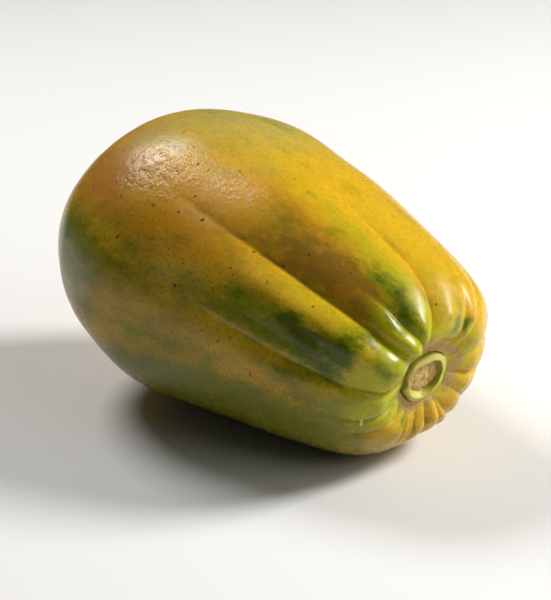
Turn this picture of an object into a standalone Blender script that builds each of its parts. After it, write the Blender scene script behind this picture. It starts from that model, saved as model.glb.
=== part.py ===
# A papaya lying on its side, with the stub of its stalk seated in the scar.
# Metres, +X along the fruit toward the stalk, +Z up, the rest spot on z = 0.
# The shape is worked out in millimetres and written to the meshes in metres.
#
# Places on the skin are given by two numbers: the distance along the skin from the
# middle of the scar, in mm, and the angle around the fruit, in degrees, where 0 is
# +Y, 90 is the top, 180 is -Y and 270 is the underside.

import math

import bmesh
import bpy
from mathutils import Vector

mm = 0.001

# Driving dimensions.
fruitLength = 215.0
heightRatio = 0.914
restTilt = 7.0
pressDepth = 0.8
stubGap = 0.35

# The stem end droops and leans a little: shifts at the scar, and slopes of its plane.
scarShiftY = 1.8
scarShiftZ = -5.9
scarSlopeZ = 0.142
scarSlopeY = 0.022
shiftReach = 80.0
slopeReach = 60.0

# Mesh fineness: lengthwise lines, and the spacing of the rings around the fruit.
stepsAround = 120
fineRing = 3.0
coarseRing = 10.0
lobeDistance = 30.0
evenColumns = (60.0, 150.0)
closeRings = (35.0, 90.0)

# Half outline of the fruit: depth below the stem end, and radius.
outline = [
    (4.5, 0), (4.5, 12), (3.5, 15), (1.2, 20), (0, 25), (1.5, 31), (6, 37), (13, 42.5), (22, 46.5),
    (40, 51.5), (66, 58), (97, 63.8), (129, 68), (161, 63), (189, 46), (206, 26.5), (213, 12), (214.6, 6),
    (fruitLength, 0),
]

# Furrows between the lobes. Each station holds the distance from the scar, the angle,
# the depth, and the width of the slope on the lower-angle and on the higher-angle side.
furrows = {
    "crown valley": [
        (12, 124, 0, 3, 3), (20, 128, 2.5, 4, 5), (27, 132, 4.8, 5.5, 8), (36, 132.5, 5.6, 7, 10),
        (45, 131, 5.8, 10, 11), (60, 130.8, 5.4, 20, 12), (90, 130.5, 3.8, 26, 14),
        (120, 129.5, 1.8, 26, 16), (145, 128, 0.5, 26, 18), (165, 127, 0, 26, 18),
    ],
    "crown crease": [
        (14, 111, 0, 3, 3), (22, 112, 2.2, 4, 4.5), (30, 113.5, 3.4, 5.5, 6), (36, 115, 3.6, 7, 7),
        (47, 115.5, 2.2, 9, 8), (62, 116.5, 0, 9, 8),
    ],
    "crown side": [
        (14, 104, 0, 3, 4), (22, 104.5, 2, 4, 5), (26, 102, 3.2, 6, 6), (31, 95, 4, 9, 7),
        (40, 90, 4.2, 12, 8), (50, 87.3, 3.6, 14, 8), (60, 86, 2.8, 15, 9), (80, 85, 1.8, 16, 10),
        (105, 84.5, 0.8, 18, 12), (130, 84, 0, 20, 14),
    ],
    "back upper": [
        (12, 51, 0, 3, 3), (18, 52.4, 1.5, 4, 5), (24, 54.5, 2.6, 5, 7), (30, 57, 2.8, 5, 10),
        (36, 58.8, 2.4, 5, 11), (44, 60.2, 1.4, 6, 11), (60, 61.5, 0, 8, 12),
    ],
    "back middle": [
        (14, 36, 0, 3, 3), (20, 39, 1.2, 4, 4), (27, 42.5, 2, 6, 5), (36, 43.8, 2, 7, 6),
        (44, 44.3, 1.5, 8, 7), (70, 46, 0, 9, 9),
    ],
    "back lower": [
        (13, 16, 0, 4, 4), (20, 15, 1, 5, 5), (28, 13, 2.2, 6, 6), (40, 10, 2, 8, 8),
        (70, 6, 0.8, 12, 12), (110, 4, 0, 14, 14),
    ],
    "back notch": [
        (13, -9.5, 0, 3, 3), (18, -11, 1.8, 4, 4), (24, -14.5, 3, 5, 5), (32, -16.5, 2.8, 6, 6),
        (45, -13, 1.6, 8, 8), (75, -12, 0, 10, 10),
    ],
    "under back": [
        (13, -34, 0, 4, 4), (20, -36, 1, 6, 6), (28, -38, 2, 8, 8), (42, -42, 1.8, 10, 10),
        (75, -47, 0, 12, 12),
    ],
    "under edge": [
        (16, 299.5, 0, 2.5, 3), (20, 300, 0.9, 3, 4), (25, 301, 1.9, 3.5, 5),
        (31, 302.5, 2.1, 4, 6), (42, 303.5, 1.2, 5, 8), (62, 304, 0, 8, 10),
    ],
    "under notch": [
        (13, 296.5, 0, 3, 3), (19, 295, 0.8, 3, 3.5), (25, 293, 1.2, 3, 3.5), (34, 291, 1.2, 5, 4),
        (50, 288, 0.8, 8, 8), (90, 283, 0, 14, 14),
    ],
    "under middle": [
        (14, 279, 0, 2, 2.5), (18, 278.4, 1.7, 2.5, 3.5), (23, 277.5, 2.8, 3, 5),
        (29, 276.7, 2.8, 4, 6), (40, 274, 1.8, 6, 8), (60, 268, 0.8, 9, 10), (90, 264, 0, 12, 12),
    ],
    "under crease": [
        (15, 260.5, 0, 2, 2.5), (18, 260.5, 1.2, 2.5, 3.5), (23, 260.2, 2, 2.5, 4.5),
        (28, 259.8, 2, 3, 5), (38, 260, 0.9, 5, 6), (50, 258, 0, 7, 7),
    ],
    "under front": [
        (14, 240.5, 0, 2.5, 2.5), (18.5, 244.6, 1.1, 3, 2.5), (24, 246.3, 1.6, 3.5, 3),
        (29, 249, 1.4, 4, 3.5), (34, 250.8, 0.9, 5, 4), (44, 251, 0, 5, 5),
    ],
    "front lower": [
        (13.5, 221, 0, 3, 3), (18, 226.2, 1.2, 3.5, 3.5), (21, 225.2, 1.8, 4.5, 4),
        (25, 221.5, 2.4, 6, 5), (30, 218.4, 2.6, 7, 6.5), (36, 213, 2.4, 8, 8),
        (42, 208.2, 1.9, 9, 9), (49, 203, 1.3, 10, 10), (66, 198, 0, 11, 12),
    ],
    "front middle": [
        (12.5, 197, 0, 3, 2), (16, 201, 1.4, 4, 2.2), (19.5, 204.4, 2.3, 5, 3),
        (25, 203.4, 2.8, 6, 4.5), (31, 200.8, 3, 7, 6), (40, 196.3, 2.3, 8, 8),
        (50, 192.5, 1.5, 10, 10), (90, 188, 0, 14, 14),
    ],
    "front upper": [
        (13, 171, 0, 3, 3), (20, 174.8, 2, 4, 4), (26.5, 173.4, 3.6, 8, 5), (32, 171.4, 4, 10, 6),
        (41, 170.2, 3.4, 13, 8), (50, 167.3, 2.9, 15, 9), (62, 166, 2.4, 16, 10),
        (90, 164.5, 1.5, 20, 12), (130, 160, 0, 24, 16),
    ],
}

# Rises and hollows of the skin: distance, angle, height, reach along, reach around. First
# the lobes that stand up around the scar, then the broad fullness of the fruit.
swells = [
    (25, 150, 2.8, 8, 11), (26, 122.5, 2.4, 7, 4.5), (28, 107, 2.2, 8, 4.5), (27, 82, 1.4, 8, 8),
    (46, 38, 0.3, 12, 16), (68, 40, 1.0, 18, 22), (90, 42, 0.2, 18, 20), (115, 45, 0.3, 22, 24),
    (36, 18, -1.5, 13, 13), (36, 355, -1.8, 13, 13), (36, 328, -1.8, 13, 13), (36, 300, -0.6, 13, 12),
    (42, 276, -1.9, 14, 12), (56, 242, 0.4, 16, 14), (165, 220, 0.5, 18, 18), (190, 216, -0.5, 14, 16),
    (206, 200, -0.5, 12, 16), (212, 180, -0.9, 12, 16), (230, 130, -1.6, 14, 20), (222, 105, -0.8, 14, 20),
    (205, 85, -0.2, 18, 20), (180, 64, -0.2, 20, 20),
]

# Rounding at the bottom of a furrow, and how fast its slopes level out.
creaseRound = 0.4
creaseFall = 2.2
leastRadius = 8.0

# Angle and radius around the stub: its outer edge, the crest of its rim, and the edge of
# its pith.
stubOutline = [
    (16, 10.3), (46, 11.7), (79, 11.6), (110, 11.4), (130, 11.7), (145, 11.1), (163, 9.9), (182, 9.4),
    (194, 10.6), (212, 10.7), (246, 11.3), (268, 9.9), (290, 9.6), (325, 9.9), (350, 9.1),
]
stubCrest = [
    (16, 7.7), (37, 8.5), (61, 9.2), (84, 9.1), (99, 8.8), (119, 9.2), (136, 9.9), (154, 9.1),
    (181, 8.4), (198, 8.9), (224, 9.4), (254, 9.4), (284, 8.3), (307, 7.4), (323, 7.2), (357, 7.1),
]
stubPithEdge = [
    (16, 6.9), (59, 7.5), (99, 7.0), (136, 8.0), (163, 7.6), (203, 6.9), (224, 7.0), (254, 6.8),
    (284, 6.6), (303, 6.4), (327, 6.6), (355, 6.7),
]
stubMeanRadius = 10.5
stubHeight = 2.6
stubEdge = 0.6
pithDrop = 2.7
pithRise = 0.5

# The stub sits in a shallow socket in the scar, whose rings are at these distances. The
# skin around it takes on the stub's outline, and is round again farther out.
scarFloor = 4.5
socketDepth = 1.6
socketMarks = (0.0, 5.0, 10.0)
lipMark = 10.6
lipWidth = 0.3
skinStart = 13.0
outlineFade = (13.0, 24.0)


def smoothStep(low, high, value):
    t = min(max((value - low) / (high - low), 0.0), 1.0)
    return t * t * (3.0 - 2.0 * t)


# Smooth curve through (position, value) points, without overshoot, level beyond its ends.
def curveAt(points, position):
    if position <= points[0][0]:
        return points[0][1]
    if position >= points[-1][0]:
        return points[-1][1]
    last = max(i for i in range(len(points) - 1) if points[i][0] <= position)

    def slope(i):
        before = (points[i][1] - points[i - 1][1]) / (points[i][0] - points[i - 1][0]) if i > 0 else 0.0
        if i == len(points) - 1:
            return before
        after = (points[i + 1][1] - points[i][1]) / (points[i + 1][0] - points[i][0])
        if i == 0:
            return after
        return 2.0 * before * after / (before + after) if before * after > 0 else 0.0

    (x0, y0), (x1, y1) = points[last], points[last + 1]
    span = x1 - x0
    t = (position - x0) / span
    bend0 = slope(last) * span
    bend1 = slope(last + 1) * span
    return (
        y0 * (2 * t ** 3 - 3 * t ** 2 + 1)
        + bend0 * (t ** 3 - 2 * t ** 2 + t)
        + y1 * (3 * t ** 2 - 2 * t ** 3)
        + bend1 * (t ** 3 - t ** 2)
    )


def turned(angle):
    return (angle + 180.0) % 360.0 - 180.0


# Depth and radius of the plain outline at each distance along the skin.
def outlineTables(spacing=0.5):
    chords = [0.0]
    for (x0, r0), (x1, r1) in zip(outline, outline[1:]):
        chords.append(chords[-1] + math.hypot(x1 - x0, r1 - r0))
    depthCurve = [(c, x) for c, (x, _) in zip(chords, outline)]
    radiusCurve = [(c, r) for c, (_, r) in zip(chords, outline)]
    count = int(chords[-1] / spacing)
    depths = []
    radii = []
    distance = 0.0
    for i in range(count + 1):
        at = chords[-1] * i / count
        x = curveAt(depthCurve, at)
        r = curveAt(radiusCurve, at)
        if i:
            distance += math.hypot(x - depths[-1][1], r - radii[-1][1])
        depths.append((distance, x))
        radii.append((distance, r))
    return depths, radii


def tableAt(table, position):
    low = 0
    high = len(table) - 1
    while high - low > 1:
        middle = (low + high) // 2
        if table[middle][0] <= position:
            low = middle
        else:
            high = middle
    (x0, y0), (x1, y1) = table[low], table[high]
    t = min(max((position - x0) / (x1 - x0), 0.0), 1.0)
    return y0 + (y1 - y0) * t


def furrowAt(stations, distance):
    return [curveAt([(s[0], s[k]) for s in stations], distance) for k in range(1, 5)]


# Every furrow as it is at one distance, in order around the fruit.
def furrowsAt(distance):
    here = [furrowAt(stations, distance) for stations in furrows.values()]
    return sorted(here, key=lambda furrow: furrow[0] % 360.0)


# Angle of each lengthwise edge line at one distance. Near the stem end the lines run
# along the furrows, and toward the belly they spread out evenly.
def columnAngles(distance):
    marked = [furrow[0] % 360.0 for furrow in furrowsAt(lobeDistance)]
    columns = [round(angle / 360.0 * stepsAround) for angle in marked]
    angles = [furrow[0] % 360.0 for furrow in furrowsAt(distance)]
    columns = [columns[-1] - stepsAround] + columns + [columns[0] + stepsAround]
    angles = [angles[-1] - 360.0] + angles + [angles[0] + 360.0]
    spread = smoothStep(*evenColumns, distance)
    found = []
    for column in range(stepsAround):
        at = max(i for i in range(len(columns) - 1) if columns[i] <= column)
        t = (column - columns[at]) / (columns[at + 1] - columns[at])
        angle = angles[at] + (angles[at + 1] - angles[at]) * t
        even = 360.0 * column / stepsAround
        found.append(angle + turned(even - angle) * spread)
    return found


# Height of the skin over the plain outline, in mm, along its normal.
def relief(distance, angle, radius, furrowsHere):
    arc = math.radians(1.0) * max(radius, leastRadius)
    height = 0.0
    for centre, depth, lowWidth, highWidth in furrowsHere:
        if depth <= 0.0:
            continue
        offset = turned(angle - centre) * arc
        width = lowWidth if offset < 0 else highWidth
        across = math.hypot(offset, creaseRound) / width
        if across < 1.0:
            height -= depth * (1.0 - across) ** creaseFall
    for at, centre, rise, along, around in swells:
        if abs(distance - at) > 2.6 * along:
            continue
        offset = turned(angle - centre) * arc
        height += rise * math.exp(-((distance - at) / along) ** 2 - (offset / around) ** 2)
    return height


# Value at an angle on a closed ring of (angle, value) corners.
def ringAt(corners, angle):
    closed = corners + [(corners[0][0] + 360.0, corners[0][1])]
    return curveAt(closed, (angle - closed[0][0]) % 360.0 + closed[0][0])


def stubRadius(angle):
    return ringAt(stubOutline, angle)


# Radius on the rim of the stub: 0 at its outer edge, 1 at its crest, 2 at the pith.
def rimRadius(angle, across):
    crest = ringAt(stubCrest, angle)
    if across < 1.0:
        return stubRadius(angle) + (crest - stubRadius(angle)) * across
    return crest + (ringAt(stubPithEdge, angle) - crest) * (across - 1.0)


# Droop and lean of the stem end, for a point at a depth below it.
def bent(depth, across, up):
    shift = 1.0 - smoothStep(0.0, shiftReach, depth)
    lean = 1.0 - smoothStep(0.0, slopeReach, depth)
    along = fruitLength / 2 - depth + (scarSlopeZ * up + scarSlopeY * across) * lean
    return Vector((along, across + scarShiftY * shift, up * heightRatio + scarShiftZ * shift))


# The fruit as it lies: the stem end tips down until the weight is over the rest spot.
def laid(point):
    tilt = math.radians(restTilt)
    x = point.x * math.cos(tilt) + point.z * math.sin(tilt)
    z = point.z * math.cos(tilt) - point.x * math.sin(tilt)
    return Vector((x, point.y, z))


def makeMaterial(name, colour, roughness):
    material = bpy.data.materials.new(name)
    material.use_nodes = True
    shader = material.node_tree.nodes["Principled BSDF"]
    shader.inputs["Base Color"].default_value = (*colour, 1.0)
    shader.inputs["Roughness"].default_value = roughness
    shader.inputs["Metallic"].default_value = 0.0
    material.diffuse_color = (*colour, 1.0)
    return material


# Turns rings about the X axis. Each ring is a mark that its vertices keep.
def turnRings(marks, places):
    mesh = bmesh.new()
    layer = mesh.verts.layers.float.new("mark")
    verts = []
    for mark, (x, r) in zip(marks, places):
        vert = mesh.verts.new((x, 0.0, r))
        vert[layer] = mark
        verts.append(vert)
    edges = [mesh.edges.new(pair) for pair in zip(verts, verts[1:])]
    bmesh.ops.spin(
        mesh, geom=verts + edges, cent=(0, 0, 0), axis=(1, 0, 0),
        angle=2 * math.pi, steps=stepsAround, use_merge=True,
    )
    bmesh.ops.remove_doubles(mesh, verts=mesh.verts, dist=0.01)
    return mesh, layer


def finishObject(name, mesh, material):
    bmesh.ops.recalc_face_normals(mesh, faces=mesh.faces)
    data = bpy.data.meshes.new(name)
    mesh.to_mesh(data)
    mesh.free()
    data.shade_smooth()
    data.materials.append(material)
    made = bpy.data.objects.new(name, data)
    bpy.context.scene.collection.objects.link(made)
    return made


# Rings of the fruit: the socket's floor and lip, then the skin from the scar outward.
def fruitRings(depths, radii):
    total = depths[-1][0]
    marks = [*socketMarks, lipMark]
    at = skinStart
    while at < total - fineRing:
        marks.append(at)
        near = 1.0 - smoothStep(*closeRings, at)
        at += coarseRing + (fineRing - coarseRing) * near
    marks.append(total)
    return marks, [(tableAt(depths, m), tableAt(radii, m)) for m in marks]


# Depth and radius of the skin at a ring, a radius of its plain outline and an angle.
def skinAt(mark, radius, angle, depths, radii, furrowsHere):
    keep = 1.0 - smoothStep(*outlineFade, mark)
    radius *= 1.0 + keep * (stubRadius(angle) / stubMeanRadius - 1.0)
    slopeX = tableAt(depths, mark + 0.5) - tableAt(depths, mark - 0.5)
    slopeR = tableAt(radii, mark + 0.5) - tableAt(radii, mark - 0.5)
    size = math.hypot(slopeX, slopeR)
    height = relief(mark, angle, radius, furrowsHere)
    return tableAt(depths, mark) - height * slopeR / size, radius + height * slopeX / size


def makeFruit(depths, radii):
    marks, places = fruitRings(depths, radii)
    mesh, layer = turnRings(marks, places)
    ringFurrows = {round(m, 3): furrowsAt(m) for m in marks}
    ringAngles = {round(m, 3): columnAngles(m) for m in marks}
    for vert in mesh.verts:
        mark = round(vert[layer], 3)
        radius = math.hypot(vert.co.y, vert.co.z)
        turn = math.degrees(math.atan2(vert.co.z, vert.co.y)) % 360.0
        column = round(turn / 360.0 * stepsAround) % stepsAround
        angle = ringAngles[mark][column]
        if mark in socketMarks:
            depth = scarFloor + socketDepth
            radius *= (stubRadius(angle) + stubGap) / socketMarks[-1]
        elif mark == lipMark:
            depth = scarFloor
            radius = stubRadius(angle) + stubGap + lipWidth
        elif radius > 0.01:
            depth, radius = skinAt(mark, radius, angle, depths, radii, ringFurrows[mark])
        else:
            depth = fruitLength
        across = radius * math.cos(math.radians(angle))
        up = radius * math.sin(math.radians(angle))
        vert.co = laid(bent(depth, across, up))
    skin = makeMaterial("papaya_skin", (0.58, 0.36, 0.04), 0.32)
    return finishObject("fruit", mesh, skin)


# The stub: a low corky-green block with a raised rim around sunken pith. Each ring holds
# its depth, its place across the rim, and its share of the way out from the middle.
def makeStub():
    bottom = scarFloor + socketDepth - stubGap
    top = scarFloor - stubHeight
    pith = top + pithDrop
    rings = [
        (bottom, 0.2, 0.0), (bottom, 0.2, 1.0), (bottom - stubEdge, 0.0, 1.0), (scarFloor - stubEdge, 0.0, 1.0),
        (top + 1.0, 0.02, 1.0), (top + 0.4, 0.35, 1.0), (top, 0.95, 1.0), (top + pithDrop / 2, 1.5, 1.0),
        (pith, 2.0, 1.0), (pith - pithRise * 0.7, 2.0, 0.6), (pith - pithRise, 2.0, 0.0),
    ]
    places = [(depth, stubMeanRadius * share * (1.0 - 0.15 * across)) for depth, across, share in rings]
    mesh, layer = turnRings(range(len(rings)), places)
    for vert in mesh.verts:
        depth, across, share = rings[round(vert[layer])]
        angle = math.degrees(math.atan2(vert.co.z, vert.co.y)) % 360.0
        radius = rimRadius(angle, across) * share
        y = radius * math.cos(math.radians(angle))
        z = radius * math.sin(math.radians(angle))
        vert.co = laid(bent(depth, y, z))
    rind = makeMaterial("stalk_rind", (0.42, 0.40, 0.12), 0.55)
    return finishObject("stem_stub", mesh, rind)


# Moves both pieces so that the fruit's box stands centred on the origin, presses the
# lowest skin flat, and turns millimetres into metres.
def setDown(fruit, stub):
    points = [v.co for v in fruit.data.vertices]
    middleX = (min(p.x for p in points) + max(p.x for p in points)) / 2
    middleY = (min(p.y for p in points) + max(p.y for p in points)) / 2
    floor = min(p.z for p in points) + pressDepth
    for piece in (fruit, stub):
        for vert in piece.data.vertices:
            place = vert.co - Vector((middleX, middleY, floor))
            vert.co = Vector((place.x, place.y, max(place.z, 0.0))) * mm
        piece.data.update()


def main():
    for old in list(bpy.data.objects):
        bpy.data.objects.remove(old, do_unlink=True)
    depths, radii = outlineTables()
    fruit = makeFruit(depths, radii)
    stub = makeStub()
    setDown(fruit, stub)


main()
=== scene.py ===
import math

import bmesh
import bpy
from mathutils import Matrix, Vector, noise


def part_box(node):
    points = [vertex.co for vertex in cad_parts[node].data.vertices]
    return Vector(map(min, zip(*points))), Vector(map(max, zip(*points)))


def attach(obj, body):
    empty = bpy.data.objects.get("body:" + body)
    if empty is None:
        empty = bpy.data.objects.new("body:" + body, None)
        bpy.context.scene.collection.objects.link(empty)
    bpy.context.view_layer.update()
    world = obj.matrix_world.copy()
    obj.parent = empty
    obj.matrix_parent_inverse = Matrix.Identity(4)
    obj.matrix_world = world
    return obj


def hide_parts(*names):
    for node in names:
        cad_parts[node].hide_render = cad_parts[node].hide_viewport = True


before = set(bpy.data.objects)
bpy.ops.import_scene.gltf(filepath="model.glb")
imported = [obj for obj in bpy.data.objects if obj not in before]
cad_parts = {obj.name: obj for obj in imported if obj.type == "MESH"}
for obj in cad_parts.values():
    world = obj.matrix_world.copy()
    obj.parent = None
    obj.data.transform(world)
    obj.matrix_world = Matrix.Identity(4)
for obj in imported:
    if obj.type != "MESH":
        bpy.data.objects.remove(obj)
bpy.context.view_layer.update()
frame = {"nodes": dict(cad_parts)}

print("frame loaded:", ", ".join(frame["nodes"]))

mm = 0.001

# A papaya lying on its side. Places on the skin are a distance along the skin from the
# middle of the stem scar, in mm, and an angle around the fruit in degrees, where 0 is
# +Y, 90 the top, 180 -Y and 270 the underside.
papaya = {
    "length": 215.0,
    "heightRatio": 0.914,       # the fruit is a little flatter than it is wide
    "restTilt": 7.0,            # the stem end tips down until the weight is over the rest spot
    "pressDepth": 0.8,
    # droop and lean of the stem end
    "scarShift": (1.8, -5.9),
    "scarSlope": (0.022, 0.142),
    "shiftReach": 80.0,
    "slopeReach": 60.0,
    # mesh
    "stepsAround": 320,
    "fineRing": 0.62,
    "coarseRing": 1.15,
    "closeRings": (45.0, 110.0),
    "evenColumns": (60.0, 150.0),
    "lobeDistance": 30.0,
    # skin unevenness: size and height in mm
    "swellSize": 34.0,
    "swellHeight": 0.5,
    "rippleSize": 9.0,
    "rippleHeight": 0.1,
    # half outline: depth below the stem end, and radius
    "outline": [
        (4.5, 0), (4.5, 12), (3.5, 15), (1.2, 20), (0, 25), (1.5, 31), (6, 37), (13, 42.5), (22, 46.5),
        (40, 51.5), (66, 58), (97, 63.8), (129, 68), (161, 63), (189, 46), (206, 26.5), (213, 12),
        (214.6, 6), (215, 0),
    ],
}


def smoothStep(low, high, value):
    t = min(max((value - low) / (high - low), 0.0), 1.0)
    return t * t * (3.0 - 2.0 * t)


# Smooth curve through (position, value) points, without overshoot, level beyond its ends.
def curveAt(points, position):
    if position <= points[0][0]:
        return points[0][1]
    if position >= points[-1][0]:
        return points[-1][1]
    last = max(i for i in range(len(points) - 1) if points[i][0] <= position)

    def slope(i):
        before = (points[i][1] - points[i - 1][1]) / (points[i][0] - points[i - 1][0]) if i > 0 else 0.0
        if i == len(points) - 1:
            return before
        after = (points[i + 1][1] - points[i][1]) / (points[i + 1][0] - points[i][0])
        if i == 0:
            return after
        return 2.0 * before * after / (before + after) if before * after > 0 else 0.0

    (x0, y0), (x1, y1) = points[last], points[last + 1]
    span = x1 - x0
    t = (position - x0) / span
    bend0 = slope(last) * span
    bend1 = slope(last + 1) * span
    return (
        y0 * (2 * t ** 3 - 3 * t ** 2 + 1)
        + bend0 * (t ** 3 - 2 * t ** 2 + t)
        + y1 * (3 * t ** 2 - 2 * t ** 3)
        + bend1 * (t ** 3 - t ** 2)
    )


def turned(angle):
    return (angle + 180.0) % 360.0 - 180.0


# Value at an angle on a closed ring of (angle, value) corners.
def ringAt(corners, angle):
    closed = corners + [(corners[0][0] + 360.0, corners[0][1])]
    return curveAt(closed, (angle - closed[0][0]) % 360.0 + closed[0][0])


# Depth and radius of the plain outline at each distance along the skin.
def outlineTables(spacing=0.25):
    outline = papaya["outline"]
    chords = [0.0]
    for (x0, r0), (x1, r1) in zip(outline, outline[1:]):
        chords.append(chords[-1] + math.hypot(x1 - x0, r1 - r0))
    depthCurve = [(c, x) for c, (x, _) in zip(chords, outline)]
    radiusCurve = [(c, r) for c, (_, r) in zip(chords, outline)]
    count = int(chords[-1] / spacing)
    depths = []
    radii = []
    distance = 0.0
    for i in range(count + 1):
        at = chords[-1] * i / count
        x = curveAt(depthCurve, at)
        r = curveAt(radiusCurve, at)
        if i:
            distance += math.hypot(x - depths[-1][1], r - radii[-1][1])
        depths.append((distance, x))
        radii.append((distance, r))
    return depths, radii


def tableAt(table, position):
    low = 0
    high = len(table) - 1
    while high - low > 1:
        middle = (low + high) // 2
        if table[middle][0] <= position:
            low = middle
        else:
            high = middle
    (x0, y0), (x1, y1) = table[low], table[high]
    t = min(max((position - x0) / (x1 - x0), 0.0), 1.0)
    return y0 + (y1 - y0) * t


depths, radii = outlineTables()
skinLength = depths[-1][0]


# Furrows between the lobes. Each station holds the distance from the scar, the angle,
# the depth, and the width of the slope on the lower-angle and on the higher-angle side.
# "crisp" is the share of the depth that drops in a narrow lip, on either side.
furrows = {
    "crownValley": {"crisp": (0.15, 0.3), "stations": [
        (12, 124, 0, 3, 3), (20, 128, 2.5, 4, 5), (27, 132, 4.8, 5.5, 8), (36, 132.5, 5.6, 7, 10),
        (45, 131, 5.8, 10, 11), (60, 130.8, 5.4, 20, 12), (90, 130.5, 3.8, 26, 14),
        (120, 129.5, 1.8, 26, 16), (145, 128, 0.5, 26, 18), (165, 127, 0, 26, 18),
    ]},
    "crownCrease": {"crisp": (0.2, 0.35), "stations": [
        (14, 111, 0, 3, 3), (22, 112, 2.2, 4, 4.5), (30, 113.5, 3.4, 5.5, 6), (36, 115, 3.6, 7, 7),
        (47, 115.5, 2.2, 9, 8), (62, 116.5, 0, 9, 8),
    ]},
    "crownSide": {"crisp": (0.1, 0.55), "stations": [
        (14, 104, 0, 3, 4), (22, 104.5, 2, 4, 5), (26, 102, 3.2, 6, 6), (31, 95, 4, 9, 7),
        (40, 90, 4.2, 12, 8), (50, 87.3, 3.6, 14, 8), (60, 86, 2.8, 15, 9), (80, 85, 1.8, 16, 10),
        (105, 84.5, 0.8, 18, 12), (130, 84, 0, 20, 14),
    ]},
    "backUpper": {"crisp": (0.3, 0.3), "stations": [
        (12, 51, 0, 3, 3), (18, 52.4, 1.5, 4, 5), (24, 54.5, 2.6, 5, 7), (30, 57, 2.8, 5, 10),
        (36, 58.8, 2.4, 5, 11), (44, 60.2, 1.4, 6, 11), (60, 61.5, 0, 8, 12),
    ]},
    "backMiddle": {"crisp": (0.3, 0.3), "stations": [
        (14, 36, 0, 3, 3), (20, 39, 1.2, 4, 4), (27, 42.5, 2.0, 6, 5), (36, 43.8, 2.0, 7, 6),
        (44, 44.3, 1.5, 8, 7), (70, 46, 0, 9, 9),
    ]},
    "backLower": {"crisp": (0.3, 0.3), "stations": [
        (13, 16, 0, 4, 4), (20, 15, 1, 5, 5), (28, 13, 2.2, 6, 6), (40, 10, 2, 8, 8),
        (70, 6, 0.8, 12, 12), (110, 4, 0, 14, 14),
    ]},
    "backNotch": {"crisp": (0.5, 0.3), "stations": [
        (13, -9.5, 0, 3, 3), (18, -11, 1.8, 4, 4), (24, -14.5, 3.0, 5, 5), (32, -16.5, 2.8, 6, 6),
        (45, -13, 1.6, 8, 8), (75, -12, 0, 10, 10),
    ]},
    "underBack": {"crisp": (0.3, 0.3), "stations": [
        (13, -34, 0, 4, 4), (20, -36, 1, 6, 6), (28, -38, 2, 8, 8), (42, -42, 1.8, 10, 10),
        (75, -47, 0, 12, 12),
    ]},
    "underEdge": {"crisp": (0.4, 0.2), "stations": [
        (16, 299.5, 0, 2.5, 3), (20, 300, 0.9, 3, 4), (25, 301, 1.9, 3.5, 5), (31, 302.5, 2.1, 4, 6),
        (42, 303.5, 1.2, 5, 8), (62, 304, 0, 8, 10),
    ]},
    "underNotch": {"crisp": (0.4, 0.2), "stations": [
        (13, 296.5, 0, 3, 3), (19, 295, 0.8, 3, 3.5), (25, 293, 1.2, 3, 3.5), (34, 291, 1.2, 5, 4),
        (50, 288, 0.8, 8, 8), (90, 283, 0, 14, 14),
    ]},
    "underMiddle": {"crisp": (0.55, 0.2), "stations": [
        (14, 279, 0, 2, 2.5), (18, 278.4, 1.7, 2.5, 3.5), (23, 277.5, 2.8, 3, 5), (29, 276.7, 2.8, 4, 6),
        (40, 274, 1.8, 6, 8), (60, 268, 0.8, 9, 10), (90, 264, 0, 12, 12),
    ]},
    "underCrease": {"crisp": (0.55, 0.2), "stations": [
        (15, 260.5, 0, 2, 2.5), (18, 260.5, 1.2, 2.5, 3.5), (23, 260.2, 2.0, 2.5, 4.5),
        (28, 259.8, 2.0, 3, 5), (38, 260, 0.9, 5, 6), (50, 258, 0, 7, 7),
    ]},
    "underFront": {"crisp": (0.55, 0.3), "stations": [
        (14, 240.5, 0, 2.5, 2.5), (18.5, 244.6, 1.1, 3, 2.5), (24, 246.3, 1.6, 3.5, 3),
        (29, 249, 1.4, 4, 3.5), (34, 250.8, 0.9, 5, 4), (44, 251, 0, 5, 5),
    ]},
    "frontLower": {"crisp": (0.5, 0.15), "stations": [
        (13.5, 221, 0, 3, 3), (18, 226.2, 1.2, 3.5, 3.5), (21, 225.2, 1.8, 4.5, 4), (25, 221.5, 2.4, 6, 5),
        (30, 218.4, 2.6, 7, 6.5), (36, 213, 2.4, 8, 8), (42, 208.2, 1.9, 9, 9), (49, 203, 1.3, 10, 10),
        (66, 198, 0, 11, 12),
    ]},
    "frontMiddle": {"crisp": (0.5, 0.3), "stations": [
        (12.5, 197, 0, 3, 2), (16, 201, 1.4, 4, 2.2), (19.5, 204.4, 2.3, 5, 3), (25, 203.4, 2.8, 6, 4.5),
        (31, 200.8, 3, 7, 6), (40, 196.3, 2.3, 8, 8), (50, 192.5, 1.5, 10, 10), (90, 188, 0, 14, 14),
    ]},
    "frontUpper": {"crisp": (0.45, 0.1), "stations": [
        (13, 171, 0, 3, 3), (20, 174.8, 2, 4, 4), (26.5, 173.4, 3.6, 8, 5), (32, 171.4, 4, 10, 6),
        (41, 170.2, 3.4, 13, 8), (50, 167.3, 2.9, 15, 9), (62, 166, 2.4, 16, 10), (90, 164.5, 1.5, 20, 12),
        (130, 160, 0, 24, 16),
    ]},
}


def furrowsAt(distance):
    found = []
    for furrow in furrows.values():
        stations = furrow["stations"]
        here = [curveAt([(s[0], s[k]) for s in stations], distance) for k in range(1, 5)]
        found.append(here + list(furrow["crisp"]))
    return sorted(found, key=lambda furrow: furrow[0] % 360.0)


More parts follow.
